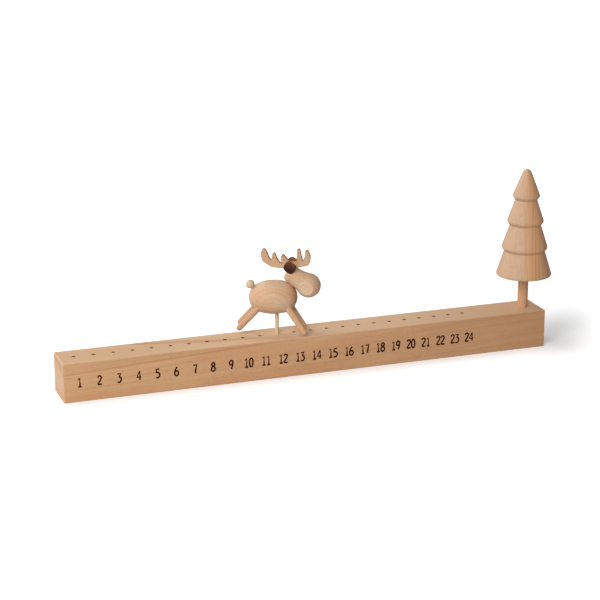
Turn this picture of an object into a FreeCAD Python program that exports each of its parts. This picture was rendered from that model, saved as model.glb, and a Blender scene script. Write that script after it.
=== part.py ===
import FreeCAD, Part
import math
import os

# Wooden advent calendar: a beech bar with a row of day holes, a moose on a peg and a turned tree.
# Millimetres and degrees. The origin is the middle of the bar's underside, X runs along the days.

# Bar
bar_length = 385.0
bar_width = 30.0
bar_height = 30.0
bar_edge = 0.8

# Fits
peg_clearance = 0.05
end_clearance = 0.05
head_gap = 1.2
bore_overrun = 2.0

# Day holes, closer together towards the end of the month
days = 24
first_hole_inset = 11.6
first_step = 14.85
last_step = 12.0
day_hole_depth = 12.0

# Peg that carries the moose
peg_diameter = 3.0
peg_edge = 0.3
peg_in_body = 9.0
moose_day = 12
moose_turn = -21.1

# Tree
tree_inset = 12.6
trunk_diameter = 8.0
trunk_edge = 0.6
trunk_in_bar = 15.0
trunk_in_crown = 22.0
crown_bottom = 56.5
tiers = 4
first_rim_radius = 21.45
rim_radius_step = 3.65
first_rim_height = 58.0
first_tier_height = 21.6
tier_height_step = 0.8
neck_below_rim = 3.8
neck_inset = 1.9
rim_rounding = 1.2
crown_top = 140.8
crown_tip_radius = 3.75

# Moose body, an oval made of one side arc between two end arcs
body_back = -2.8
body_height = 58.3
body_half_length = 18.3
body_radius = 12.9
body_end_radius = 11.0

# Legs: roots are forward, side and up from the body's middle, feet from the bar below it
leg_top_radius = 2.6
leg_foot_radius = 2.2
leg_in_body = 8.0
front_leg_root = (12.2, 6.9, -7.5)
front_leg_foot = (24.4, 7.2, 2.0)
rear_leg_root = (-12.2, 6.9, -7.5)
rear_leg_foot = (-26.7, 7.2, 5.2)

# Tail
tail_radius = 3.3
tail_sink = 0.35
tail_lean = 135.0
tail_pin_radius = 1.0
tail_pin_in_body = 4.0
tail_pin_in_ball = 3.0

# Neck
neck_radius = 2.5
neck_in_body = 8.0
neck_in_head = 6.0

# Head, drawn along its own axis from the thin rear end to the round muzzle, square to the neck
head_dip = 32.0
head_turn = -7.0
head_back = 19.3
head_back_radius = 4.0
head_neck_place = -10.9
muzzle_radius = 9.2
throat_radius = 30.0
throat_slope = 21.0
cheek_half_width = 7.7
cheek_tilt = 9.5

# Antler board, as circles that its outline runs round: forward and up from the muzzle's middle, radius
antler_thickness = 3.8
antler_beam = [(-33.7, 25.2, 1.8), (-33.3, 22.3, 2.7), (-32.1, 19.0, 2.75), (-29.8, 17.1, 2.2),
               (-27.4, 15.5, 2.2), (-23.2, 15.2, 2.4), (-19.9, 14.3, 1.7), (-15.5, 15.0, 2.8),
               (-11.2, 15.5, 2.3), (-5.6, 15.7, 1.75), (-1.8, 17.35, 2.5), (-0.95, 20.4, 2.35),
               (-0.7, 22.9, 1.9), (-1.5, 25.7, 1.2)]
antler_tines = [[(-26.1, 23.15, 1.05), (-25.7, 19.0, 2.2), (-23.2, 15.2, 2.4)],
                [(-19.4, 21.9, 1.2), (-18.8, 19.4, 2.25), (-17.0, 17.0, 2.6), (-15.5, 15.0, 2.8)],
                [(-7.55, 26.4, 1.27), (-7.2, 22.0, 1.75), (-6.6, 18.6, 2.3), (-5.6, 15.7, 1.75)]]
antler_foot_from = -14.9
antler_foot_to = -10.1
antler_foot_bottom = 8.8
antler_foot_top = 15.0

# Leather ears, each a bent flap with a tab in a slit at the side of the head, along and across its axis
ear_from = -23.3
ear_to = -14.7
ear_height = 8.9
ear_thickness = 1.3
ear_corner = 3.2
ear_root_rise = 1.3
ear_root_side = 6.2
ear_lean = 20.0
ear_bend_radius = 12.0
ear_tab_width = 4.4
ear_tab_rise = 0.4
ear_tab_depth = 3.4


def at(x, y, z):
    """Give a point or direction."""
    return FreeCAD.Vector(x, y, z)


def curve(start, middle, end):
    """Give the arc through three points."""
    return Part.Arc(start, middle, end).toShape()


def arc_on(centre, radius, from_angle, to_angle):
    """Give an arc in the upright X-Z plane."""
    points = []
    for angle in (from_angle, 0.5 * (from_angle + to_angle), to_angle):
        turn = math.radians(angle)
        points.append(at(centre.x + radius * math.cos(turn), 0, centre.z + radius * math.sin(turn)))
    return curve(points[0], points[1], points[2])


def line(start, end):
    """Give a straight edge."""
    return Part.makeLine(start, end)


def turned(edges, direction):
    """Spin a closed outline in the X-Z plane round an axis through the origin."""
    outline = Part.Wire(edges)
    return Part.Face(outline).revolve(at(0, 0, 0), direction, 360)


def dowel(start, end, radius):
    """Give a plain round pin between two points."""
    along = end - start
    return Part.makeCylinder(radius, along.Length, start, along)


def eased_dowel(start, end, radius, edge):
    """Give a round pin with a small chamfer at both ends."""
    pin = dowel(start, end, radius)
    rims = [e for e in pin.Edges if e.Closed and abs(e.Length - 2 * math.pi * radius) < 0.01]
    return pin.makeChamfer(edge, rims)


# Places on the bar

def day_x(day):
    """Give the place of a day's hole along the bar."""
    change = (last_step - first_step) / (days - 2)
    steps = day - 1
    travel = steps * first_step + change * steps * (steps - 1) / 2.0
    return first_hole_inset + travel - bar_length / 2.0


def tree_x():
    """Give the place of the tree along the bar."""
    return bar_length / 2.0 - tree_inset


# Bar

def make_base_bar():
    """Bar with eased edges, blind day holes in its top and a socket for the tree."""
    corner = at(-bar_length / 2.0, -bar_width / 2.0, 0)
    bar = Part.makeBox(bar_length, bar_width, bar_height, corner)
    bar = bar.makeFillet(bar_edge, bar.Edges)
    hole_radius = peg_diameter / 2.0 + peg_clearance
    for day in range(1, days + 1):
        floor = at(day_x(day), 0, bar_height - day_hole_depth)
        bar = bar.cut(Part.makeCylinder(hole_radius, day_hole_depth, floor))
    socket_floor = at(tree_x(), 0, bar_height - trunk_in_bar)
    socket_radius = trunk_diameter / 2.0 + peg_clearance
    return bar.cut(Part.makeCylinder(socket_radius, trunk_in_bar, socket_floor))


# Tree

def make_tree_trunk():
    """Dowel from the bottom of the socket up into the crown."""
    foot = at(tree_x(), 0, bar_height - trunk_in_bar + end_clearance)
    head = at(tree_x(), 0, crown_bottom + trunk_in_crown)
    return eased_dowel(foot, head, trunk_diameter / 2.0, trunk_edge)


def rim(tier):
    """Give the radius and height of the widest place of a tier."""
    radius = first_rim_radius - tier * rim_radius_step
    height = first_rim_height + tier * first_tier_height - tier_height_step * tier * (tier - 1) / 2.0
    return radius, height


def crown_side():
    """Outline of the crown's side: each tier leans in to a neck, then steps out to the next rim."""
    radius, height = rim(0)
    points = [at(0, 0, crown_bottom), at(radius, 0, crown_bottom), at(radius, 0, height)]
    for tier in range(1, tiers):
        radius, height = rim(tier)
        points.append(at(radius - neck_inset, 0, height - neck_below_rim))
        points.append(at(radius, 0, height - rim_rounding))
        points.append(at(radius, 0, height))
    return points


def crown_tip(radius, height):
    """Edges from the top rim up the cone, over the round tip to the axis."""
    tip = at(0, 0, crown_top - crown_tip_radius)
    reach = math.hypot(radius, tip.z - height)
    lean = math.atan2(radius, tip.z - height) - math.asin(crown_tip_radius / reach)
    touch = at(crown_tip_radius * math.cos(lean), 0, tip.z + crown_tip_radius * math.sin(lean))
    side = line(at(radius, 0, height), touch)
    cap = arc_on(tip, crown_tip_radius, math.degrees(lean), 90.0)
    return [side, cap]


def make_tree_crown():
    """Turned crown of four tiers with rounded rims and a bore for the trunk."""
    points = crown_side()
    edges = [line(points[i], points[i + 1]) for i in range(len(points) - 1)]
    radius, height = rim(tiers - 1)
    edges += crown_tip(radius, height)
    edges.append(line(at(0, 0, crown_top), points[0]))
    crown = turned(edges, at(0, 0, 1))
    crown = crown.makeFillet(rim_rounding * 0.6, rim_edges(crown))
    crown.translate(at(tree_x(), 0, 0))
    floor = at(tree_x(), 0, crown_bottom)
    bore = Part.makeCylinder(trunk_diameter / 2.0 + peg_clearance, trunk_in_crown + end_clearance, floor)
    return crown.cut(bore)


def rim_edges(crown):
    """Find the round edges that lie on the rims of the tiers."""
    found = []
    for edge in crown.Edges:
        box = edge.BoundBox
        for tier in range(tiers):
            radius, height = rim(tier)
            level_ring = box.ZLength < 0.01 and abs(box.XMax - radius) < 0.01
            if level_ring and box.ZMax < height + 0.01:
                found.append(edge)
    return found


# Moose, drawn facing +X over the origin and then stood on its day hole

def stand(shape):
    """Turn a finished piece of the moose and stand it over its day."""
    shape.rotate(at(0, 0, 0), at(0, 0, 1), moose_turn)
    shape.translate(at(day_x(moose_day), 0, 0))
    return shape


def make_moose_peg():
    """Thin dowel from the day hole's floor up into the moose."""
    foot = at(0, 0, bar_height - day_hole_depth + end_clearance)
    return eased_dowel(foot, at(0, 0, peg_top()), peg_diameter / 2.0, peg_edge)


def peg_top():
    """Give the height of the peg's top inside the body."""
    return body_height - body_radius + peg_in_body


def plain_body():
    """Oval body of revolution: a long side arc meets an end arc smoothly at each end."""
    end = body_half_length - body_end_radius
    spare = body_radius - body_end_radius
    side_radius = (body_radius ** 2 + end ** 2 - body_end_radius ** 2) / (2.0 * spare)
    side_centre = at(0, 0, body_radius - side_radius)
    lean = math.degrees(math.atan2(side_radius - body_radius, end))
    tail_end = arc_on(at(-end, 0, 0), body_end_radius, 180.0, 180.0 - lean)
    back = arc_on(side_centre, side_radius, 180.0 - lean, lean)
    chest = arc_on(at(end, 0, 0), body_end_radius, lean, 0.0)
    axis = line(at(body_half_length, 0, 0), at(-body_half_length, 0, 0))
    body = turned([tail_end, back, chest, axis], at(1, 0, 0))
    body.translate(at(body_back, 0, body_height))
    return body


def make_leg(root, foot, side):
    """Tapered dowel with a round foot, let into the body at the root."""
    top = at(body_back + root[0], side * root[1], body_height + root[2])
    bottom = at(body_back + foot[0], side * foot[1], bar_height + foot[2])
    along = bottom - top
    along.normalize()
    inner = top - along * leg_in_body
    ball = bottom - along * leg_foot_radius
    shank = Part.makeCone(leg_top_radius, leg_foot_radius, (ball - inner).Length, inner, along)
    return shank.fuse(Part.makeSphere(leg_foot_radius, ball)).removeSplitter()


def all_legs():
    """The four legs by name."""
    return {"front_right_leg": make_leg(front_leg_root, front_leg_foot, -1),
            "front_left_leg": make_leg(front_leg_root, front_leg_foot, 1),
            "rear_right_leg": make_leg(rear_leg_root, rear_leg_foot, -1),
            "rear_left_leg": make_leg(rear_leg_root, rear_leg_foot, 1)}


def seat_on_body(lean):
    """Give the place on the body's rounding that faces a lean angle, and the direction square to it."""
    forward = math.copysign(body_half_length - body_end_radius, math.cos(math.radians(lean)))
    out = at(math.cos(math.radians(lean)), 0, math.sin(math.radians(lean)))
    return at(body_back + forward, 0, body_height) + out * body_end_radius, out


def make_tail_ball():
    """Ball on the rump, turned round the hole for its pin."""
    mouth = math.degrees(math.acos(tail_pin_radius / tail_radius))
    hole_end = tail_pin_in_ball + tail_sink - tail_radius
    hole_mouth = -math.sqrt(tail_radius ** 2 - tail_pin_radius ** 2)
    skin = arc_on(at(0, 0, 0), tail_radius, -mouth, 90.0)
    middle = line(at(0, 0, tail_radius), at(0, 0, hole_end))
    floor = line(at(0, 0, hole_end), at(tail_pin_radius, 0, hole_end))
    wall = line(at(tail_pin_radius, 0, hole_end), at(tail_pin_radius, 0, hole_mouth))
    ball = turned([skin, middle, floor, wall], at(0, 0, 1))
    seat, out = seat_on_body(tail_lean)
    ball.rotate(at(0, 0, 0), at(0, 1, 0), 90.0 - tail_lean)
    ball.translate(seat + out * (tail_radius - tail_sink))
    return ball


def make_tail_pin():
    """Short pin that holds the tail ball."""
    seat, out = seat_on_body(tail_lean)
    return dowel(seat - out * tail_pin_in_body, seat + out * tail_pin_in_ball, tail_pin_radius)


def neck():
    """Give the neck's seat on the body and its direction, square to the head's axis."""
    return seat_on_body(90.0 - head_dip)


def make_neck_dowel():
    """Dowel fixed in the body that the head turns on."""
    seat, out = neck()
    return dowel(seat - out * neck_in_body, seat + out * neck_in_head, neck_radius)


def make_moose_body(fixed_pieces):
    """Oval body with a bore for the peg and seats for the pieces fixed in it."""
    body = plain_body()
    for piece in fixed_pieces:
        body = body.cut(piece)
    bore_depth = peg_top() + end_clearance - bar_height
    bore = Part.makeCylinder(peg_diameter / 2.0 + peg_clearance, bore_depth, at(0, 0, bar_height))
    return body.cut(bore)


# Head

def muzzle_middle():
    """Give the middle of the muzzle, so that the head just clears the body at the neck."""
    seat, out = neck()
    forward = at(out.z, 0, -out.x)
    return seat + out * (throat_height(head_neck_place) + head_gap) - forward * head_neck_place


def set_on_head(shape):
    """Bring a piece drawn along the head's axis to its place above the body."""
    shape.rotate(at(0, 0, 0), at(0, 1, 0), head_dip)
    shape.translate(muzzle_middle())
    return shape


def throat_centre():
    """Give the centre of the hollow arc between the thin rear end and the muzzle."""
    slope = math.radians(throat_slope)
    reach = muzzle_radius + throat_radius
    return at(-reach * math.sin(slope), 0, reach * math.cos(slope))


def throat_height(place):
    """Give the head's radius at a place on the hollow arc."""
    centre = throat_centre()
    return centre.z - math.sqrt(throat_radius ** 2 - (place - centre.x) ** 2)


def plain_head():
    """Pear-shaped head: rounded rear end, hollow arc and ball muzzle, each smooth to the next."""
    centre = throat_centre()
    corner_x = -head_back + head_back_radius
    drop = math.sqrt((throat_radius + head_back_radius) ** 2 - (corner_x - centre.x) ** 2)
    corner = at(corner_x, 0, centre.z - drop)
    lean = math.degrees(math.atan2(centre.z - corner.z, centre.x - corner.x))
    rear = line(at(-head_back, 0, 0), at(-head_back, 0, corner.z))
    rear_round = arc_on(corner, head_back_radius, 180.0, lean)
    hollow = arc_on(centre, throat_radius, lean - 180.0, -90.0 + throat_slope)
    muzzle = arc_on(at(0, 0, 0), muzzle_radius, 90.0 + throat_slope, 0.0)
    axis = line(at(muzzle_radius, 0, 0), at(-head_back, 0, 0))
    return turned([rear, rear_round, hollow, muzzle, axis], at(1, 0, 0))


def make_moose_head(set_in_pieces):
    """Head with a flat round cheek on each side, the neck bore and slots for antlers and ears."""
    head = plain_head()
    cheek_radius = math.sqrt(muzzle_radius ** 2 - cheek_half_width ** 2)
    tilt = math.radians(cheek_tilt)
    for side in (-1, 1):
        out = at(0, side * math.cos(tilt), -math.sin(tilt))
        head = head.cut(Part.makeCylinder(cheek_radius, muzzle_radius, out * cheek_half_width, out))
    head = set_on_head(head)
    for piece in set_in_pieces:
        head = head.cut(piece)
    seat, out = neck()
    bore_end = seat + out * (neck_in_head + end_clearance)
    return head.cut(dowel(seat - out * bore_overrun, bore_end, neck_radius + peg_clearance))


def turn_head(shape):
    """Turn a finished piece of the head a little on the neck."""
    seat, out = neck()
    shape.rotate(seat, out, head_turn)
    return shape


# Antlers

def hull(start, end):
    """Give the board between two circles: the flat piece that their outer tangents enclose."""
    run = at(end[0] - start[0], 0, end[1] - start[1])
    heading = math.atan2(run.z, run.x)
    open_angle = math.acos((start[2] - end[2]) / run.Length)
    corners = []
    for circle, side in ((start, 1), (end, 1), (end, -1), (start, -1)):
        angle = heading + side * open_angle
        corners.append(at(circle[0] + circle[2] * math.cos(angle), antler_thickness / 2.0,
                          circle[1] + circle[2] * math.sin(angle)))
    corners.append(corners[0])
    return Part.Face(Part.makePolygon(corners)).extrude(at(0, -antler_thickness, 0))


def disc(circle):
    """Give a round of the board."""
    centre = at(circle[0], -antler_thickness / 2.0, circle[1])
    return Part.makeCylinder(circle[2], antler_thickness, centre, at(0, 1, 0))


def branch(circles):
    """Give the pieces of board along a run of circles."""
    pieces = [disc(circle) for circle in circles]
    pieces += [hull(circles[i], circles[i + 1]) for i in range(len(circles) - 1)]
    return pieces


def make_antlers():
    """Flat sawn board: one beam from tip to tip, three more tines and a foot in the head."""
    pieces = branch(antler_beam)
    for tine in antler_tines:
        pieces += branch(tine)
    foot_corner = at(antler_foot_from, -antler_thickness / 2.0, antler_foot_bottom)
    foot_length = antler_foot_to - antler_foot_from
    foot_height = antler_foot_top - antler_foot_bottom
    pieces.append(Part.makeBox(foot_length, antler_thickness, foot_height, foot_corner))
    board = pieces[0].multiFuse(pieces[1:]).removeSplitter()
    board.translate(muzzle_middle())
    return board


# Ears

def make_ear(side):
    """Leather flap with round corners, bent like a shallow trough and leaning outwards from its root."""
    length = ear_to - ear_from
    blank = Part.makeBox(length, ear_bend_radius, ear_height, at(ear_from, -ear_thickness, 0))
    corners = [e for e in blank.Edges if abs(e.tangentAt(e.FirstParameter).y) > 0.9]
    blank = blank.makeFillet(ear_corner, corners)
    axis_start = at(ear_from, ear_bend_radius, 0.5 * ear_height)
    outer = Part.makeCylinder(ear_bend_radius + ear_thickness, length, axis_start, at(1, 0, 0))
    inner = Part.makeCylinder(ear_bend_radius, length, axis_start, at(1, 0, 0))
    flap = blank.common(outer.cut(inner))
    flap.rotate(at(0, 0, 0), at(1, 0, 0), -ear_lean)
    flap.translate(at(0, ear_root_side, ear_root_rise))
    tab_from = 0.5 * (ear_from + ear_to - ear_tab_width)
    tab_corner = at(tab_from, ear_root_side - ear_tab_depth, ear_root_rise + ear_tab_rise)
    tab = Part.makeBox(ear_tab_width, ear_tab_depth, ear_thickness, tab_corner)
    flap = flap.fuse(tab).removeSplitter()
    if side < 0:
        flap = flap.mirror(at(0, 0, 0), at(0, 1, 0))
    return set_on_head(flap)


def make_head_pieces():
    """Head, antlers and ears, turned together on the neck."""
    antlers = make_antlers()
    right_ear = make_ear(-1)
    left_ear = make_ear(1)
    head = make_moose_head([antlers, right_ear, left_ear])
    pieces = {"moose_head": head, "antlers": antlers, "right_ear": right_ear, "left_ear": left_ear}
    return {name: turn_head(shape) for name, shape in pieces.items()}


def make_moose():
    """Every piece of the moose, standing over its day."""
    pieces = all_legs()
    pieces["tail_ball"] = make_tail_ball()
    pieces["tail_pin"] = make_tail_pin()
    pieces["neck_dowel"] = make_neck_dowel()
    pieces["moose_body"] = make_moose_body(list(pieces.values()))
    pieces.update(make_head_pieces())
    pieces["moose_peg"] = make_moose_peg()
    return {name: stand(shape) for name, shape in pieces.items()}


def main():
    """Build every piece and write one file for each."""
    os.makedirs("parts", exist_ok=True)
    pieces = {"base_bar": make_base_bar(), "tree_trunk": make_tree_trunk(), "tree_crown": make_tree_crown()}
    pieces.update(make_moose())
    for name, shape in pieces.items():
        shape.exportStep("parts/" + name + ".step")


main()
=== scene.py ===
"""A wooden advent calendar: a bar with 24 numbered holes, a turned tree and a small moose on a peg."""

import math

import bmesh
import bpy
from bpy.props import FloatProperty, FloatVectorProperty, IntProperty, PointerProperty
from mathutils import Matrix, Vector
from mathutils.bvhtree import BVHTree


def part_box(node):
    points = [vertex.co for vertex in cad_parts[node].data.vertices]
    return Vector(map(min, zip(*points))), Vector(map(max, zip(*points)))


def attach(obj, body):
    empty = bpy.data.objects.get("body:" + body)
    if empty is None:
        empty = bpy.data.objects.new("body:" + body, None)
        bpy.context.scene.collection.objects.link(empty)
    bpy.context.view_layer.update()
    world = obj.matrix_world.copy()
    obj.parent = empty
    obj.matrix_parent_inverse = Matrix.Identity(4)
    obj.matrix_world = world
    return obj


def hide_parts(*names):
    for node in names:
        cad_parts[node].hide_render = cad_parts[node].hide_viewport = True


bl_info = {
    "name": "Wooden advent calendar",
    "version": (1, 0, 0),
    "blender": (4, 5, 0),
    "location": "3D View > Sidebar > Calendar",
    "description": "Dresses the packed calendar in wood and leather and sets its stage",
    "category": "Add Mesh",
}

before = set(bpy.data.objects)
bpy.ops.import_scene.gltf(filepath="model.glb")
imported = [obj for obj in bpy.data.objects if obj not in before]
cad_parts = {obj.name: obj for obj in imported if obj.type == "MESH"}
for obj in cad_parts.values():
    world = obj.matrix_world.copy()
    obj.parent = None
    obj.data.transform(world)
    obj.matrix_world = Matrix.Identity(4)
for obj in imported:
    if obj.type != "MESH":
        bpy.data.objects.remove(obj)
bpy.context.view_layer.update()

# The moose's turn on its peg and the rise of its neck, in degrees
MOOSE_TURN = -21.1
NECK_RISE = 58.0

# The camera's place, how far it looks down and aside, and its lens in millimetres
CAMERA_PLACE = (-0.4577, -1.2591, 0.4708)
CAMERA_DOWN = 17.284
CAMERA_ASIDE = -19.723
CAMERA_LENS = 111.716

# Doubled points of a CAD mesh lie closer than this
MERGE = 1e-6

# Each digit's strokes, drawn as a loop, a curve or a straight line.
# A digit is one high, and its points are measured from the middle of its foot.
STROKES = {
    "0": [
        (
            "loop",
            [
                *((0.0, 1.0), (0.17, 0.78), (0.19, 0.5), (0.16, 0.2)),
                *((0.0, 0.0), (-0.17, 0.22), (-0.19, 0.5), (-0.17, 0.8)),
            ],
        ),
    ],
    "1": [
        ("line", [(-0.15, 0.82), (0.02, 0.99), (0.02, 0.02)]),
        ("line", [(-0.17, 0.0), (0.2, 0.02)]),
    ],
    "2": [
        (
            "curve",
            [
                *((-0.2, 0.8), (-0.13, 0.95), (0.02, 1.0), (0.16, 0.9)),
                *((0.17, 0.72), (0.06, 0.48), (-0.1, 0.24), (-0.21, 0.02)),
            ],
        ),
        ("line", [(-0.21, 0.02), (0.25, 0.03)]),
    ],
    "3": [
        ("line", [(-0.19, 0.95), (0.17, 0.99), (-0.04, 0.6)]),
        ("curve", [(-0.04, 0.6), (0.13, 0.55), (0.21, 0.36), (0.15, 0.12), (0.0, 0.0), (-0.21, 0.07)]),
    ],
    "4": [
        ("line", [(0.12, 0.0), (0.13, 0.99), (0.07, 0.93), (-0.22, 0.32), (0.25, 0.35)]),
    ],
    "5": [
        ("line", [(0.2, 0.99), (-0.15, 0.97), (-0.17, 0.58)]),
        ("curve", [(-0.17, 0.58), (0.02, 0.6), (0.19, 0.46), (0.19, 0.2), (0.04, 0.02), (-0.2, 0.04)]),
    ],
    "6": [
        (
            "curve",
            [
                *((0.08, 1.0), (-0.08, 0.76), (-0.19, 0.48), (-0.2, 0.22), (-0.09, 0.02)),
                *((0.1, 0.02), (0.21, 0.22), (0.15, 0.46), (0.0, 0.53), (-0.15, 0.42)),
            ],
        ),
    ],
    "7": [
        ("line", [(-0.2, 0.95), (0.2, 0.99), (0.08, 0.5), (0.02, 0.0)]),
    ],
    "8": [
        ("loop", [(0.0, 1.0), (0.15, 0.9), (0.13, 0.7), (0.0, 0.57), (-0.13, 0.7), (-0.15, 0.9)]),
        ("loop", [(0.0, 0.57), (0.17, 0.42), (0.2, 0.18), (0.0, 0.0), (-0.2, 0.18), (-0.17, 0.42)]),
    ],
    "9": [
        (
            "curve",
            [
                *((0.16, 0.66), (0.02, 0.5), (-0.14, 0.56), (-0.19, 0.78), (-0.06, 0.98)),
                *((0.1, 0.98), (0.19, 0.8), (0.17, 0.55), (0.1, 0.26), (0.02, 0.0)),
            ],
        ),
    ],
}


# Settings


def length(name, default, description):
    """Describe a setting in metres."""
    return FloatProperty(name=name, description=description, default=default, unit="LENGTH")


def tone(name, default, description):
    """Describe a setting that is a display colour."""
    return FloatVectorProperty(
        name=name,
        description=description,
        default=default,
        subtype="COLOR_GAMMA",
        size=3,
    )


def white(name, default, description):
    """Describe a setting that is a share of white light, where 1 is white."""
    return FloatProperty(name=name, description=description, default=default, min=0.0, max=1.0)


class CalendarSettings(bpy.types.PropertyGroup):
    """Sizes and colours of the calendar's looks."""

    days: IntProperty(name="Days", description="How many holes are numbered", default=24, min=1)
    first_day_inset: length("First day inset", 0.012, "From the bar's left end to day 1")
    first_step: length("First step", 0.01478, "From day 1 to day 2")
    last_step: length("Last step", 0.01199, "From day 23 to day 24")
    numeral_height: length("Numeral height", 0.0067, "From the foot's line to the top's line")
    numeral_foot: length("Numeral foot", 0.01158, "Height of the feet above the underside")
    numeral_pitch: length("Numeral pitch", 0.0037, "Between the two digits of a day")
    numeral_stroke: length("Numeral stroke", 0.00128, "Width of the burnt line")
    numeral_relief: length("Numeral relief", 0.00003, "How far the line stands on the wood")
    arris: length("Antler arris", 0.0003, "Rounding of the antlers' cut edges")
    body_lift: length("Body lift", 0.00075, "How much higher back, belly and tail sit between the legs")
    nape_lift: length("Nape lift", 0.0005, "How much fuller still the body is behind the neck")
    bar_light: tone("Light bar", (0.862, 0.688, 0.518), "Early wood of the bar")
    bar_dark: tone("Dark bar", (0.725, 0.531, 0.361), "Late wood of the bar")
    tree_light: tone("Light tree", (0.815, 0.695, 0.588), "Early wood of the tree")
    tree_dark: tone("Dark tree", (0.702, 0.524, 0.378), "Late wood of the tree")
    body_light: tone("Light body", (0.862, 0.74, 0.617), "Early wood of the body")
    body_dark: tone("Dark body", (0.745, 0.58, 0.435), "Late wood of the body")
    head_light: tone("Light head", (0.852, 0.753, 0.641), "Early wood of the head")
    head_dark: tone("Dark head", (0.733, 0.595, 0.461), "Late wood of the head")
    cheek: tone("Cheek", (0.9, 0.8, 0.69), "Flat-sanded cheeks")
    board_light: tone("Light board", (0.82, 0.67, 0.535), "Early wood of the antlers")
    board_dark: tone("Dark board", (0.677, 0.516, 0.375), "Late wood of the antlers")
    fore_light: tone("Light foreleg", (0.885, 0.72, 0.56), "Early wood of the front legs and the trunk")
    fore_dark: tone("Dark foreleg", (0.75, 0.56, 0.42), "Late wood of the front legs and the trunk")
    leg_light: tone("Light leg", (0.81, 0.64, 0.5), "Early wood of the rear legs and the neck")
    leg_dark: tone("Dark leg", (0.69, 0.505, 0.37), "Late wood of the rear legs and the neck")
    pale_light: tone("Light ball", (0.872, 0.815, 0.687), "Early wood of the tail ball and the peg")
    pale_dark: tone("Dark ball", (0.78, 0.66, 0.5), "Late wood of the tail ball and the peg")
    warm: tone("Warm wood", (0.8, 0.58, 0.42), "Orange clouds in the wood")
    # Painted light: the paler colour of the bar's top face, which the light falls on
    top: tone("Top", (0.885, 0.745, 0.595), "Flat-sawn wood of the bar's top")
    end: tone("End grain", (0.88, 0.79, 0.71), "Sanded end grain of the bar")
    # Redder wood tone; on the bar's right and the body's front it is also painted shade
    ruddy: tone("Ruddy wood", (0.72, 0.52, 0.38), "Redder wood of bar, trunk and the body's front")
    # Painted shade: the warmer colour of sides turned from the light, on the tree's right and the head's far
    # side
    heart: tone("Heart wood", (0.83, 0.625, 0.45), "Redder wood at the tree's right and the head's far side")
    streak: tone("Streak", (0.68, 0.455, 0.29), "Dark streaks in the tree and the bar's vein")
    # Painted shade: a dark colour laid in the holes and on the neck where shade falls
    hole_dark: tone("Hole", (0.3, 0.13, 0.055), "Rough wood inside the holes")
    burnt: tone("Burnt", (0.235, 0.105, 0.03), "Numerals")
    scorched: tone("Scorched", (0.74, 0.54, 0.39), "Cut edges of the antlers")
    # Leather tones, mixed by random clouds and by painted light and shade across the ear
    leather_light: tone("Light leather", (0.58, 0.36, 0.25), "Worn leather")
    leather_dark: tone("Dark leather", (0.2, 0.1, 0.045), "Deep leather")
    # Painted light: the far ear's leather made lighter and yellower, as its top is lit from above
    leather_far: tone("Far leather", (0.52, 0.38, 0.23), "Leather of the far ear")
    floor: tone("Floor", (0.9, 0.9, 0.9), "Studio floor")
    floor_lift: white("Floor lift", 0.21, "White added to the floor in the deepest shadow")
    foot_lift: white("Foot lift", 0.36, "White added to the floor at the bar's foot")
    floor_white: white("Floor white", 0.62, "White added to the floor round the bar")


def settings():
    return bpy.context.scene.calendar


def display(colour):
    """Give the linear colour, with alpha, of a display colour."""
    linear = [(c + 0.055) ** 2.4 / 1.055**2.4 if c > 0.04045 else c / 12.92 for c in colour]
    return (*linear, 1.0)


# Nodes


def feed(tree, value, socket):
    """Link an output to a socket, or set a plain value on it."""
    if isinstance(value, bpy.types.NodeSocket):
        tree.links.new(value, socket)
    else:
        socket.default_value = value


def add(tree, kind, inputs=None, **features):
    """Add a node, set its features and feed its inputs."""
    node = tree.nodes.new(kind)
    for name, value in features.items():
        setattr(node, name, value)
    for name, value in (inputs or {}).items():
        feed(tree, value, node.inputs[name])
    return node


def calc(tree, operation, *values):
    """Work on numbers."""
    inputs = dict(enumerate(values))
    return add(tree, "ShaderNodeMath", inputs, operation=operation).outputs[0]


def both(tree, first, second):
    """Give a mask that shows where two masks do, or weaken one by a share."""
    return calc(tree, "MULTIPLY", first, second)


def move(tree, operation, *values):
    """Work on vectors."""
    inputs = dict(enumerate(values))
    return add(tree, "ShaderNodeVectorMath", inputs, operation=operation).outputs[0]


def reach(tree, offset, direction):
    """Give how far an offset goes in a direction."""
    inputs = {0: offset, 1: direction}
    return add(tree, "ShaderNodeVectorMath", inputs, operation="DOT_PRODUCT").outputs["Value"]


def distance(tree, offset):
    """Give an offset's length."""
    return add(tree, "ShaderNodeVectorMath", {0: offset}, operation="LENGTH").outputs["Value"]


def span(tree, value, low, high, to_low=0.0, to_high=1.0):
    """Stretch part of a range smoothly over another."""
    inputs = dict(enumerate((value, low, high, to_low, to_high)))
    return add(tree, "ShaderNodeMapRange", inputs, interpolation_type="SMOOTHSTEP").outputs[0]


def mix(tree, share, first, second, blend="MIX"):
    """Mix two colours."""
    inputs = {0: share, 6: first, 7: second}
    features = {"data_type": "RGBA", "blend_type": blend, "clamp_factor": True}
    return add(tree, "ShaderNodeMix", inputs, **features).outputs[2]


def noise(tree, place, scale, detail=2.0, roughness=0.5):
    """Add soft noise, whose outputs are a value and a colour."""
    inputs = {"Vector": place, "Scale": scale, "Detail": detail, "Roughness": roughness}
    return add(tree, "ShaderNodeTexNoise", inputs).outputs


def own_place(tree):
    """Give a point's place on the object."""
    return tree.nodes.new("ShaderNodeTexCoord").outputs["Object"]


def own_sides(tree):
    """Give a point's X, Y and Z on the object."""
    parts = add(tree, "ShaderNodeSeparateXYZ", {"Vector": own_place(tree)})
    return [parts.outputs[axis] for axis in "XYZ"]


def slow(tree):
    """Give places that hardly change along the bar."""
    return move(tree, "MULTIPLY", own_place(tree), (0.25, 1.0, 1.0))


def towards(tree, middle, direction, low, high):
    """Give a mask that grows from a middle point in a direction."""
    offset = move(tree, "SUBTRACT", own_place(tree), middle)
    return span(tree, reach(tree, offset, direction), low, high)


# Materials


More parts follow.
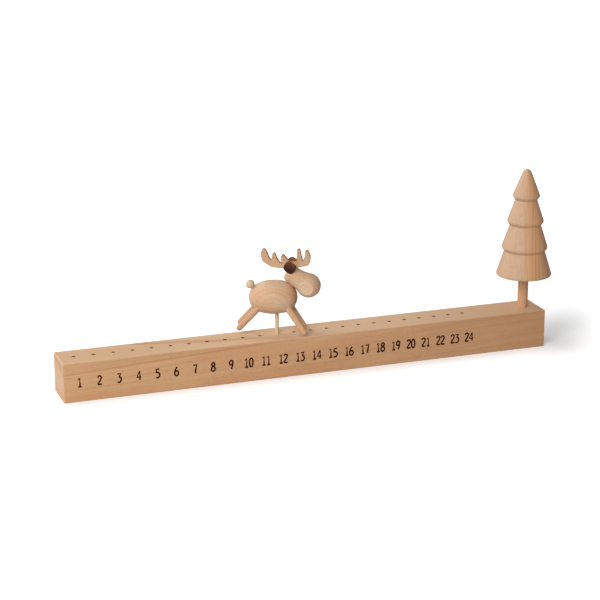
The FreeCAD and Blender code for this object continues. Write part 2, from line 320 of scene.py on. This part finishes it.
def new_group(name, inputs, outputs):
    """Make an empty node group and give it with its two ends."""
    group = bpy.data.node_groups.new(name, "ShaderNodeTree")
    for label, kind in inputs.items():
        group.interface.new_socket(label, in_out="INPUT", socket_type="NodeSocket" + kind)
    for label, kind in outputs.items():
        group.interface.new_socket(label, in_out="OUTPUT", socket_type="NodeSocket" + kind)
    start = group.nodes.new("NodeGroupInput")
    end = group.nodes.new("NodeGroupOutput")
    return group, start.outputs, end.inputs


def growth_rings(group, place, drawn, scale):
    """Give late wood in rings round the X axis that wander, come and go."""
    wander = noise(group, drawn, 30.0, 1.0)[1]
    offset = move(group, "SUBTRACT", wander, (0.5, 0.5, 0.5))
    offset = move(group, "MULTIPLY", offset, (0.0, 0.004, 0.004))
    wandered = move(group, "ADD", place, offset)
    wave = add(
        group,
        "ShaderNodeTexWave",
        {"Vector": wandered, "Scale": scale, "Distortion": 0.0},
        wave_type="RINGS",
        rings_direction="X",
        wave_profile="SAW",
    )
    ring = span(group, wave.outputs["Fac"], 0.5, 1.0)
    presence = span(group, noise(group, drawn, 75.0, 1.0)[0], 0.35, 0.65, 0.25, 1.0)
    return both(group, ring, presence)


def late_wood(group, start, drawn, fibres):
    """Give the share of late wood: rings, broad tones and streaks."""
    ring = growth_rings(group, start["Place"], drawn, start["Ring Scale"])
    share = calc(group, "MULTIPLY_ADD", ring, start["Rings"], 0.35)
    swing = calc(group, "SUBTRACT", noise(group, drawn, 45.0, 2.0)[0], 0.5)
    share = calc(group, "MULTIPLY_ADD", swing, start["Tones"], share)
    swing = calc(group, "SUBTRACT", noise(group, fibres, 900.0, 3.0, 0.65)[0], 0.5)
    return calc(group, "MULTIPLY_ADD", swing, 0.9, share)


def grain_group():
    """Beech: growth rings round the X axis, broad tones, warm clouds, fibres and flecks."""
    group = bpy.data.node_groups.get("beech_grain")
    if group:
        return group
    inputs = {"Place": "Vector", "Light": "Color", "Dark": "Color", "Warm": "Color"}
    inputs.update({label: "Float" for label in ("Ring Scale", "Rings", "Tones", "Clouds", "Flecks")})
    outputs = {"Color": "Color", "Roughness": "Float", "Height": "Float"}
    group, start, end = new_group("beech_grain", inputs, outputs)
    place = start["Place"]
    drawn = move(group, "MULTIPLY", place, (0.12, 1.0, 1.0))
    fibres = move(group, "MULTIPLY", place, (0.02, 1.0, 1.0))
    flecked = move(group, "MULTIPLY", place, (0.16, 1.0, 1.0))
    share = late_wood(group, start, drawn, fibres)
    colour = mix(group, share, start["Light"], start["Dark"])
    cloud = span(group, noise(group, drawn, 85.0, 1.0)[0], 0.52, 0.75)
    colour = mix(group, both(group, cloud, start["Clouds"]), colour, start["Warm"])
    fleck = span(group, noise(group, flecked, 2600.0, 1.0)[0], 0.62, 0.72)
    mark = both(group, fleck, start["Flecks"])
    colour = mix(group, mark, colour, (0.5, 0.36, 0.25, 1.0), "MULTIPLY")
    feed(group, colour, end["Color"])
    fibre = noise(group, fibres, 2600.0, 2.0)[0]
    feed(group, calc(group, "MULTIPLY_ADD", fibre, 0.16, 0.46), end["Roughness"])
    feed(group, calc(group, "MULTIPLY_ADD", fleck, -0.5, fibre), end["Height"])
    return group


def new_material(name):
    """Make a material and give it with its nodes and its shader."""
    material = bpy.data.materials.new(name)
    material.use_nodes = True
    tree = material.node_tree
    return material, tree, tree.nodes["Principled BSDF"]


def roughen(tree, shader, height, strength, depth):
    """Let a height stand out from the surface."""
    inputs = {"Strength": strength, "Distance": depth, "Height": height}
    relief = add(tree, "ShaderNodeBump", inputs)
    feed(tree, relief.outputs[0], shader.inputs["Normal"])


def wood(name, palette, turn=(0.0, 0.0, 0.0), pith=(0.0, 0.0, 0.0), **amounts):
    """Make a beech material with its grain along the turned X axis and its rings round the pith."""
    material, tree, shader = new_material(name)
    mapping = add(tree, "ShaderNodeMapping", {"Vector": own_place(tree)}, vector_type="TEXTURE")
    mapping.inputs["Location"].default_value = pith
    mapping.inputs["Rotation"].default_value = [math.radians(angle) for angle in turn]
    inputs = {
        "Place": mapping.outputs[0],
        "Light": display(getattr(settings(), palette + "_light")),
        "Dark": display(getattr(settings(), palette + "_dark")),
        "Warm": display(settings().warm),
        "Ring Scale": amounts.get("ring_scale", 140.0),
        "Rings": amounts.get("rings", 0.3),
        "Tones": amounts.get("tones", 0.7),
        "Clouds": amounts.get("clouds", 0.35),
        "Flecks": amounts.get("flecks", 0.4),
    }
    grain = add(tree, "ShaderNodeGroup", inputs, node_tree=grain_group())
    feed(tree, grain.outputs["Color"], shader.inputs["Base Color"])
    feed(tree, grain.outputs["Roughness"], shader.inputs["Roughness"])
    roughen(tree, shader, grain.outputs["Height"], 0.25, 0.0002)
    shader.inputs["IOR"].default_value = 1.45
    shader.inputs["Specular IOR Level"].default_value = 0.35
    return material


def tint(material, mask, colour):
    """Lay a colour over a material where a mask says so."""
    tree = material.node_tree
    socket = tree.nodes["Principled BSDF"].inputs["Base Color"]
    feed(tree, mix(tree, mask, socket.links[0].from_socket, display(colour)), socket)


def leather(name, node):
    """Make brown leather for an ear, with painted shade at its lower left, painted light at its upper right,
    and darker pores.
    """
    material, tree, shader = new_material(name)
    place = own_place(tree)
    inputs = {"Vector": place, "Scale": 1800.0}
    pores = add(tree, "ShaderNodeTexVoronoi", inputs, feature="DISTANCE_TO_EDGE")
    cell = span(tree, pores.outputs["Distance"], 0.0, 0.25)
    cloud = noise(tree, place, 260.0, 4.0, 0.6)[0]
    # Painted light and shade: paler towards the upper right, darker at the lower left
    lit_side = towards(tree, middle_of(node), (0.45, 0.0, 0.9), -0.003, 0.006)
    share = calc(tree, "MULTIPLY_ADD", cloud, 0.5, -0.2)
    share = calc(tree, "MULTIPLY_ADD", lit_side, 0.9, share)
    colour = mix(tree, share, display(settings().leather_dark), display(settings().leather_light))
    pore = calc(tree, "SUBTRACT", 1.0, cell)
    colour = mix(tree, pore, colour, (0.45, 0.4, 0.35, 1.0), "MULTIPLY")
    feed(tree, colour, shader.inputs["Base Color"])
    feed(tree, calc(tree, "MULTIPLY_ADD", cloud, 0.25, 0.5), shader.inputs["Roughness"])
    roughen(tree, shader, cell, 0.5, 0.0001)
    shader.inputs["Specular IOR Level"].default_value = 0.15
    return material


def burnt_wood(name, colour):
    """Make wood burnt by heat: a charred colour that lets some grain through."""
    material, tree, shader = new_material(name)
    drawn = move(tree, "MULTIPLY", own_place(tree), (0.2, 1.0, 1.0))
    char = noise(tree, drawn, 1500.0, 3.0)[0]
    base = display(colour)
    pale = [min(1.0, 2.0 * part) for part in base[:3]] + [1.0]
    share = span(tree, char, 0.4, 0.75, 0.0, 0.5)
    feed(tree, mix(tree, share, base, pale), shader.inputs["Base Color"])
    feed(tree, calc(tree, "MULTIPLY_ADD", char, 0.2, 0.65), shader.inputs["Roughness"])
    roughen(tree, shader, char, 0.3, 0.0001)
    shader.inputs["Specular IOR Level"].default_value = 0.0
    return material


# Pieces


def middle_of(node):
    """Give the middle of a CAD node's box."""
    low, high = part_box(node)
    return Vector([(a + b) / 2 for a, b in zip(low, high)])


def turned(direction):
    """Turn a direction as the moose stands turned on its peg."""
    return Matrix.Rotation(math.radians(MOOSE_TURN), 3, "Z") @ Vector(direction)


def paint(node, material):
    """Give a CAD node its finish."""
    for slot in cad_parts[node].material_slots:
        slot.material = material


def copy_of(node, name):
    """Copy a CAD node's mesh into a new object that stands for it."""
    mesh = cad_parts[node].data.copy()
    mesh.name = name
    mesh.materials.clear()
    piece = bpy.data.objects.new(name, mesh)
    bpy.context.collection.objects.link(piece)
    return piece


def replace(piece, node, finish, body):
    """Finish a piece and let it stand for its CAD node."""
    piece.data.materials.append(finish)
    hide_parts(node)
    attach(piece, body)


def open_mesh(piece):
    """Open a piece's mesh for work, with its doubled points merged."""
    mesh = bmesh.new()
    mesh.from_mesh(piece.data)
    bmesh.ops.remove_doubles(mesh, verts=mesh.verts, dist=MERGE)
    return mesh


def close_mesh(mesh, piece):
    """Put a worked mesh back into its piece."""
    mesh.to_mesh(piece.data)
    mesh.free()


# Numerals


def day_place(day):
    """Give a day's place along the bar, as the holes are spaced."""
    sizes = settings()
    steps = day - 1
    change = (sizes.last_step - sizes.first_step) / (sizes.days - 2)
    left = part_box("base_bar")[0][0]
    return left + sizes.first_day_inset + steps * sizes.first_step + change * steps * (steps - 1) / 2


def draw_stroke(curve, kind, points, middle):
    """Add one stroke of a digit to a curve that lies in its own XY plane."""
    high = settings().numeral_height
    spline = curve.splines.new("BEZIER")
    spline.bezier_points.add(len(points) - 1)
    spline.use_cyclic_u = kind == "loop"
    spline.resolution_u = 5
    handle = "VECTOR" if kind == "line" else "AUTO"
    for point, (side, rise) in zip(spline.bezier_points, points):
        point.co = (middle + side * high, rise * high, 0.0)
        point.handle_left_type = handle
        point.handle_right_type = handle


def draw_number(number, curve, middle):
    """Draw a number's digits side by side, centred on its hole."""
    digits = str(number)
    for place, digit in enumerate(digits):
        offset = (place - (len(digits) - 1) / 2) * settings().numeral_pitch
        for kind, points in STROKES[digit]:
            draw_stroke(curve, kind, points, middle + offset)


def numeral_curve():
    """Draw all the day numbers as one round line."""
    curve = bpy.data.curves.new("numerals", "CURVE")
    curve.dimensions = "3D"
    curve.bevel_depth = settings().numeral_stroke / 2
    curve.bevel_resolution = 2
    curve.use_fill_caps = True
    for day in range(1, settings().days + 1):
        draw_number(day, curve, day_place(day))
    return curve


def as_mesh(curve, name):
    """Turn a curve into a mesh object at the origin."""
    carrier = bpy.data.objects.new(name + "_line", curve)
    bpy.context.collection.objects.link(carrier)
    bpy.context.view_layer.update()
    evaluated = carrier.evaluated_get(bpy.context.evaluated_depsgraph_get())
    piece = bpy.data.objects.new(name, bpy.data.meshes.new_from_object(evaluated))
    bpy.data.objects.remove(carrier)
    bpy.context.collection.objects.link(piece)
    return piece


class WriteNumerals(bpy.types.Operator):
    """Burn the day numbers 1 to 24 into the bar's front"""

    bl_idname = "calendar.write_numerals"
    bl_label = "Write numerals"

    def execute(self, context):
        sizes = settings()
        piece = as_mesh(numeral_curve(), "numerals")
        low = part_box("base_bar")[0]
        flat = Matrix.Scale(sizes.numeral_relief * 2 / sizes.numeral_stroke, 4, (0.0, 0.0, 1.0))
        upright = Matrix.Rotation(math.radians(90), 4, "X")
        place = Matrix.Translation((0.0, low[1], low[2] + sizes.numeral_foot))
        piece.data.transform(place @ upright @ flat)
        piece.data.materials.append(burnt_wood("burnt_numerals", sizes.burnt))
        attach(piece, "bar")
        return {"FINISHED"}


# Bar


def tone_bar(finish):
    """Redden the bar towards the right, also as painted shade where the light falls off, paint its top paler
    as painted light, and make its ends paler.
    """
    tree = finish.node_tree
    sizes = settings()
    right, _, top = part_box("base_bar")[1]
    side, _, rise = own_sides(tree)
    # Partly painted shade: redder and darker towards the right end, where the light falls off
    tint(finish, span(tree, side, 0.0, right, 0.0, 0.45), sizes.ruddy)
    tint(finish, span(tree, side, right - 0.05, right, 0.0, 0.22), sizes.ruddy)
    # Painted light: the top face is made paler
    paler = span(tree, side, -0.15, -0.05, 0.4, 0.7)
    paler = both(tree, paler, span(tree, side, 0.06, 0.15, 1.0, 0.6))
    tint(finish, both(tree, span(tree, rise, top - 0.0008, top), paler), sizes.top)
    along = calc(tree, "ABSOLUTE", side)
    tint(finish, span(tree, along, right - 0.0008, right, 0.0, 0.25), sizes.end)


def vein_bar(finish):
    """Draw a dark vein that rises from the bar's left end, with redder wood above it."""
    tree = finish.node_tree
    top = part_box("base_bar")[1][2]
    side, depth, rise = own_sides(tree)
    wobble = calc(tree, "MULTIPLY_ADD", noise(tree, slow(tree), 60.0)[0], 0.004, -0.002)
    lean = calc(tree, "MULTIPLY_ADD", depth, -0.2, rise)
    drift = calc(tree, "MULTIPLY_ADD", side, -0.046, lean)
    layer = calc(tree, "SUBTRACT", calc(tree, "ADD", drift, wobble), 0.0334)
    vein = span(tree, calc(tree, "ABSOLUTE", layer), 0.0002, 0.0009, 0.45, 0.0)
    left = span(tree, side, -0.08, 0.0, 1.0, 0.0)
    tint(finish, both(tree, vein, left), settings().streak)
    below = span(tree, rise, top - 0.0008, top, 1.0, 0.0)
    above = span(tree, layer, 0.0, 0.001, 0.0, 0.25)
    tint(finish, both(tree, above, both(tree, left, below)), settings().ruddy)


def warm_bar(finish):
    """Lay warm patches along the bar's left foot."""
    tree = finish.node_tree
    side, _, rise = own_sides(tree)
    low = span(tree, rise, 0.002, 0.009, 0.55, 0.0)
    left = span(tree, side, -0.12, -0.02, 1.0, 0.0)
    patchy = span(tree, noise(tree, slow(tree), 55.0, 1.0)[0], 0.36, 0.52)
    tint(finish, both(tree, both(tree, low, left), patchy), settings().warm)


def darken_holes(finish):
    """Paint shade on whatever lies inside the bar: the walls and floors of its holes."""
    tree = finish.node_tree
    right, back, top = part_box("base_bar")[1]
    side, depth, rise = own_sides(tree)
    inside = span(tree, rise, top - 0.0005, top - 0.0002, 1.0, 0.0)
    skin = 0.002
    for value, limit in (
        (calc(tree, "ABSOLUTE", side), right - skin),
        (calc(tree, "ABSOLUTE", depth), back - skin),
        (calc(tree, "SUBTRACT", 0.0, rise), -skin),
    ):
        inside = both(tree, inside, calc(tree, "LESS_THAN", value, limit))
    # Painted shade inside the holes
    tint(finish, inside, settings().hole_dark)


class DressBar(bpy.types.Operator):
    """Give the bar its beech, with the grain along it"""

    bl_idname = "calendar.dress_bar"
    bl_label = "Dress bar"

    def execute(self, context):
        finish = wood(
            "bar_beech",
            "bar",
            turn=(0.0, -3.2, 1.5),
            pith=(0.0, 0.06, -0.05),
            ring_scale=92.0,
            rings=0.32,
            clouds=0.55,
        )
        tone_bar(finish)
        vein_bar(finish)
        warm_bar(finish)
        darken_holes(finish)
        paint("base_bar", finish)
        return {"FINISHED"}


# Tree


def streak_tree(finish, middle):
    """Paint the warmer shade of the tree's right side, away from the light, and draw dark upright streaks in
    it.
    """
    tree = finish.node_tree
    height = own_sides(tree)[2]
    aside = towards(tree, middle, (0.94, -0.34, 0.02), -0.1, 0.1)
    layers = add(tree, "ShaderNodeCombineXYZ", {"X": aside, "Z": calc(tree, "MULTIPLY", height, 0.16)})
    streaks = span(tree, noise(tree, layers.outputs[0], 95.0, 3.0)[0], 0.42, 0.68)
    right = towards(tree, middle, (0.93, -0.37, 0.0), -0.006, 0.005)
    # Painted shade on the tree's right side
    tint(finish, both(tree, right, 0.85), settings().heart)
    share = calc(tree, "MULTIPLY_ADD", right, 0.42, 0.1)
    tint(finish, both(tree, streaks, share), settings().streak)


class DressTree(bpy.types.Operator):
    """Give the tree and its trunk beech with upright grain"""

    bl_idname = "calendar.dress_tree"
    bl_label = "Dress tree"

    def execute(self, context):
        middle = middle_of("tree_crown").x
        crown = wood(
            "crown_beech",
            "tree",
            turn=(0.0, -89.0, 0.0),
            pith=(middle - 0.052, -0.035, 0.0),
            ring_scale=140.0,
            rings=0.12,
            tones=0.45,
            clouds=0.2,
            flecks=0.2,
        )
        streak_tree(crown, (middle, 0.0, 0.0))
        paint("tree_crown", crown)
        trunk = wood("trunk_beech", "fore", turn=(0.0, -90.0, 0.0), pith=(middle, 0.03, 0.0))
        tint(trunk, 0.35, settings().ruddy)
        paint("tree_trunk", trunk)
        return {"FINISHED"}


# Moose


def smooth(value, low, high):
    """Grow smoothly from 0 to 1 between two limits."""
    share = min(1.0, max(0.0, (value - low) / (high - low)))
    return share * share * (3.0 - 2.0 * share)


def surface(node):
    """Give a CAD node's surface, to find its nearest point."""
    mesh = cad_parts[node].data
    faces = [tuple(face.vertices) for face in mesh.polygons]
    return BVHTree.FromPolygons([vertex.co for vertex in mesh.vertices], faces)


def body_shift(place, neck, axis, legs):
    """Give how a point of the body moves: up between the legs, and along the neck near it."""
    sizes = settings()
    offset = place - neck
    aside = offset - axis * offset.dot(axis)
    forward = Vector((axis.x, axis.y, 0.0)).normalized()
    behind = smooth(-aside.normalized().dot(forward), 0.0, 0.8) if aside.length > 0.0 else 0.0
    free = smooth(min(leg.find_nearest(place)[3] for leg in legs), 0.0004, 0.006)
    height = smooth(offset.dot(axis), -0.012, -0.009)
    near_neck = height * (1.0 - smooth(aside.length, 0.003, 0.008))
    direction = Vector((0.0, 0.0, 1.0)).lerp(axis, near_neck)
    nape = sizes.nape_lift * behind * height * (1.0 - smooth(aside.length, 0.006, 0.014))
    return direction * (sizes.body_lift * free + nape)


def turned_body():
    """Copy the body and fill its outline out between the legs and up to the head."""
    piece = copy_of("moose_body", "turned_body")
    mesh = open_mesh(piece)
    lean = math.radians(NECK_RISE)
    axis = turned((math.cos(lean), 0.0, math.sin(lean)))
    neck = middle_of("neck_dowel")
    legs = [surface(f"{end}_{side}_leg") for end in ("front", "rear") for side in ("right", "left")]
    for vertex in mesh.verts:
        vertex.co += body_shift(vertex.co, neck, axis, legs)
    for face in mesh.faces:
        face.smooth = True
    close_mesh(mesh, piece)
    piece.data.set_sharp_from_angle(angle=math.radians(35))
    return piece


def dress_body():
    """Finish the body, with redder wood at its front, which is also painted shade on that end."""
    middle = middle_of("moose_body")
    body = wood(
        "body_beech",
        "body",
        turn=(0.0, 0.0, MOOSE_TURN),
        pith=middle + turned((0.006, 0.052, 0.012)),
        ring_scale=150.0,
        rings=0.32,
        clouds=0.45,
    )
    front = towards(body.node_tree, middle, turned((1.0, 0.0, 0.0)), 0.009, 0.019)
    # Partly painted shade on the body's front end, turned from the light
    tint(body, front, settings().ruddy)
    replace(turned_body(), "moose_body", body, "moose")


def flats(node):
    """Find a CAD node's two largest flats, each as its direction and its distance from the origin."""
    areas = {}
    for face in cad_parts[node].data.polygons:
        key = tuple(round(part, 3) for part in face.normal)
        area, _ = areas.get(key, (0.0, 0.0))
        areas[key] = (area + face.area, face.normal.dot(face.center))
    largest = sorted(areas, key=lambda key: -areas[key][0])[:2]
    return [(key, areas[key][1]) for key in largest]


def dress_head():
    """Finish the head, with paler flat cheeks and painted warmer shade on its far side."""
    middle = middle_of("moose_head")
    head = wood(
        "head_beech",
        "head",
        turn=(0.0, 32.0, MOOSE_TURN - 7.0),
        pith=middle + Vector((0.03, 0.01, 0.04)),
        ring_scale=150.0,
        rings=0.42,
        clouds=0.5,
    )
    tree = head.node_tree
    for normal, level in flats("moose_head"):
        flat = towards(tree, (0.0, 0.0, 0.0), normal, level - 0.0002, level)
        tint(head, both(tree, flat, 0.3), settings().cheek)
    # Painted shade on the head's far side, away from the light
    far = towards(tree, middle, (0.6, 0.35, 0.7), 0.001, 0.012)
    tint(head, both(tree, far, 0.5), settings().heart)
    paint("moose_head", head)


def dress_legs():
    """Finish the four legs, with the grain along them."""
    for end, palette, lean in (("front", "fore", 57.0), ("rear", "leg", -47.0)):
        leg = wood(end + "_leg_beech", palette, turn=(0.0, lean, MOOSE_TURN))
        paint(end + "_right_leg", leg)
        paint(end + "_left_leg", leg)


def raise_tail(node, name, finish):
    """Copy a piece of the tail and lift it with the body."""
    piece = copy_of(node, name)
    piece.data.transform(Matrix.Translation((0.0, 0.0, settings().body_lift)))
    replace(piece, node, finish, "moose")


def dress_dowels():
    """Finish the peg, the tail and the neck, with painted shade on the neck."""
    peg = wood("peg_beech", "pale", turn=(0.0, -90.0, 0.0))
    paint("moose_peg", peg)
    ball = wood("tail_beech", "pale", turn=(0.0, -45.0, MOOSE_TURN))
    raise_tail("tail_ball", "moose_tail", ball)
    raise_tail("tail_pin", "moose_tail_pin", peg)
    neck = wood("neck_beech", "leg", turn=(0.0, -NECK_RISE, MOOSE_TURN))
    # Painted shade: the neck is darkened as the contact shadow between head and body
    tint(neck, 0.35, settings().hole_dark)
    paint("neck_dowel", neck)


class DressMoose(bpy.types.Operator):
    """Give the moose's turned pieces their beech"""

    bl_idname = "calendar.dress_moose"
    bl_label = "Dress moose"

    def execute(self, context):
        dress_body()
        dress_head()
        dress_legs()
        dress_dowels()
        return {"FINISHED"}


def sort_faces(mesh):
    """Tell the board's two flat faces from its cut edge, and give the edges between them."""
    flat = max(mesh.faces, key=lambda face: face.calc_area()).normal.copy()
    for face in mesh.faces:
        level = abs(face.normal.dot(flat))
        face.material_index = 0 if level > 0.9 else 1
        face.smooth = level < 0.9
    return [edge for edge in mesh.edges if len({face.material_index for face in edge.link_faces}) == 2]


class CutAntlers(bpy.types.Operator):
    """Cut the antlers' board with scorched, eased edges"""

    bl_idname = "calendar.cut_antlers"
    bl_label = "Cut antlers"

    def execute(self, context):
        piece = copy_of("antlers", "antler_board")
        mesh = open_mesh(piece)
        bmesh.ops.dissolve_limit(mesh, angle_limit=math.radians(1.0), verts=mesh.verts, edges=mesh.edges)
        bmesh.ops.bevel(
            mesh,
            geom=sort_faces(mesh),
            offset=settings().arris,
            offset_type="OFFSET",
            affect="EDGES",
            segments=2,
            profile=0.5,
            material=1,
        )
        close_mesh(mesh, piece)
        board = wood("antler_beech", "board", turn=(0.0, 10.0, -28.0), pith=(0.0, 0.0, 0.02))
        replace(piece, "antlers", board, "head")
        piece.data.materials.append(burnt_wood("scorched_edge", settings().scorched))
        return {"FINISHED"}


class DressEars(bpy.types.Operator):
    """Give the ears their leather"""

    bl_idname = "calendar.dress_ears"
    bl_label = "Dress ears"

    def execute(self, context):
        paint("right_ear", leather("right_ear_hide", "right_ear"))
        far = leather("left_ear_hide", "left_ear")
        # Painted light on the far ear
        tint(far, 0.7, settings().leather_far)
        paint("left_ear", far)
        return {"FINISHED"}


# Stage


def shadow_lift(tree, place):
    """Give the white that the floor adds: least in the shadow at the bar's right end and at its foot."""
    sizes = settings()
    right, back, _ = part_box("base_bar")[1]
    offset = move(tree, "SUBTRACT", place, (right + 0.0275, 0.0135, 0.0))
    across = reach(tree, offset, (30.0, -17.0, 0.0))
    along = reach(tree, offset, (0.0, 22.0, 0.0))
    oval = add(tree, "ShaderNodeCombineXYZ", {"X": across, "Y": along}).outputs[0]
    beside = span(tree, distance(tree, oval), 0.0, 1.5, sizes.floor_lift, sizes.floor_white)
    beyond = move(tree, "SUBTRACT", move(tree, "ABSOLUTE", place), (right, back, 0.0))
    beyond = move(tree, "MAXIMUM", beyond, (0.0, 0.0, 0.0))
    foot = span(tree, distance(tree, beyond), 0.0, 0.019, sizes.foot_lift, sizes.floor_white)
    return calc(tree, "MINIMUM", beside, foot)


def plain_floor():
    """Make the floor's material: white to the camera where it is lit or far away, with the shadow kept."""
    material, tree, shader = new_material("studio_floor")
    place = own_place(tree)
    base = display(settings().floor)
    soft = [part * 0.99 for part in base[:3]] + [1.0]
    feed(tree, mix(tree, noise(tree, place, 3.0)[0], base, soft), shader.inputs["Base Color"])
    shader.inputs["Roughness"].default_value = 1.0
    shader.inputs["Specular IOR Level"].default_value = 0.0
    shader.inputs["Emission Color"].default_value = (1.0, 1.0, 1.0, 1.0)
    away = distance(tree, move(tree, "MULTIPLY", place, (1.0, 1.6, 0.0)))
    lift = span(tree, away, 0.32, 0.6, shadow_lift(tree, place), 1.0)
    seen = tree.nodes.new("ShaderNodeLightPath").outputs["Is Camera Ray"]
    feed(tree, both(tree, seen, lift), shader.inputs["Emission Strength"])
    return material


def lay_floor(scene):
    """Lay a wide flat floor under the bar."""
    mesh = bpy.data.meshes.new("floor")
    form = bmesh.new()
    bmesh.ops.create_grid(form, x_segments=1, y_segments=1, size=6.0)
    form.to_mesh(mesh)
    form.free()
    floor = bpy.data.objects.new("floor", mesh)
    scene.collection.objects.link(floor)
    mesh.materials.append(plain_floor())


def pale_world(scene):
    """Light the studio evenly, and show it white behind the object."""
    world = bpy.data.worlds.new("studio")
    world.use_nodes = True
    scene.world = world
    tree = world.node_tree
    back = tree.nodes["Background"]
    back.inputs["Color"].default_value = (1.0, 1.0, 1.0, 1.0)
    path = tree.nodes.new("ShaderNodeLightPath")
    seen = calc(tree, "MAXIMUM", path.outputs["Is Camera Ray"], path.outputs["Is Glossy Ray"])
    seen = calc(tree, "MAXIMUM", seen, path.outputs["Is Transmission Ray"])
    feed(tree, span(tree, seen, 0.0, 1.0, 0.08, 1.0), back.inputs["Strength"])


def hang_lamp(scene, name, place, size, power):
    """Hang a soft square lamp that looks at the bar's middle."""
    light = bpy.data.lights.new(name, "AREA")
    light.shape = "SQUARE"
    light.size = size
    light.energy = power
    holder = bpy.data.objects.new(name, light)
    scene.collection.objects.link(holder)
    holder.location = place
    look = Vector((0.0, 0.0, 0.03)) - Vector(place)
    holder.rotation_euler = look.to_track_quat("-Z", "Y").to_euler()


def set_camera(scene):
    """Set the camera at the photograph's viewing angle."""
    view = bpy.data.cameras.new("camera")
    view.lens = CAMERA_LENS
    view.sensor_width = 36.0
    view.sensor_fit = "HORIZONTAL"
    view.clip_end = 50.0
    holder = bpy.data.objects.new("camera", view)
    scene.collection.objects.link(holder)
    holder.location = CAMERA_PLACE
    holder.rotation_euler = (math.radians(90.0 - CAMERA_DOWN), 0.0, math.radians(CAMERA_ASIDE))
    scene.camera = holder


class SetStage(bpy.types.Operator):
    """Set floor, lamps, world and camera"""

    bl_idname = "calendar.set_stage"
    bl_label = "Set stage"

    def execute(self, context):
        scene = context.scene
        lay_floor(scene)
        pale_world(scene)
        hang_lamp(scene, "left_back_lamp", (-0.85, 0.8, 0.89), 1.2, 13.5)
        hang_lamp(scene, "left_front_lamp", (-0.9, -1.2, 0.95), 1.1, 25.5)
        set_camera(scene)
        scene.view_settings.view_transform = "Standard"
        return {"FINISHED"}


# Panel


STEPS = (DressBar, WriteNumerals, DressTree, DressMoose, CutAntlers, DressEars, SetStage)


class CalendarPanel(bpy.types.Panel):
    """The calendar's steps, in order, and its settings"""

    bl_idname = "VIEW3D_PT_calendar"
    bl_label = "Wooden calendar"
    bl_space_type = "VIEW_3D"
    bl_region_type = "UI"
    bl_category = "Calendar"

    def draw(self, context):
        for step in STEPS:
            self.layout.operator(step.bl_idname)
        for name in CalendarSettings.__annotations__:
            self.layout.prop(context.scene.calendar, name)


CLASSES = (CalendarSettings, *STEPS, CalendarPanel)


def register():
    for entry in CLASSES:
        bpy.utils.register_class(entry)
    bpy.types.Scene.calendar = PointerProperty(type=CalendarSettings)


def unregister():
    del bpy.types.Scene.calendar
    for entry in reversed(CLASSES):
        bpy.utils.unregister_class(entry)


def main():
    """Register the add-on and take every step."""
    register()
    bpy.ops.calendar.dress_bar()
    bpy.ops.calendar.write_numerals()
    bpy.ops.calendar.dress_tree()
    bpy.ops.calendar.dress_moose()
    bpy.ops.calendar.cut_antlers()
    bpy.ops.calendar.dress_ears()
    bpy.ops.calendar.set_stage()
    bpy.context.view_layer.update()


if __name__ == "__main__":
    main()
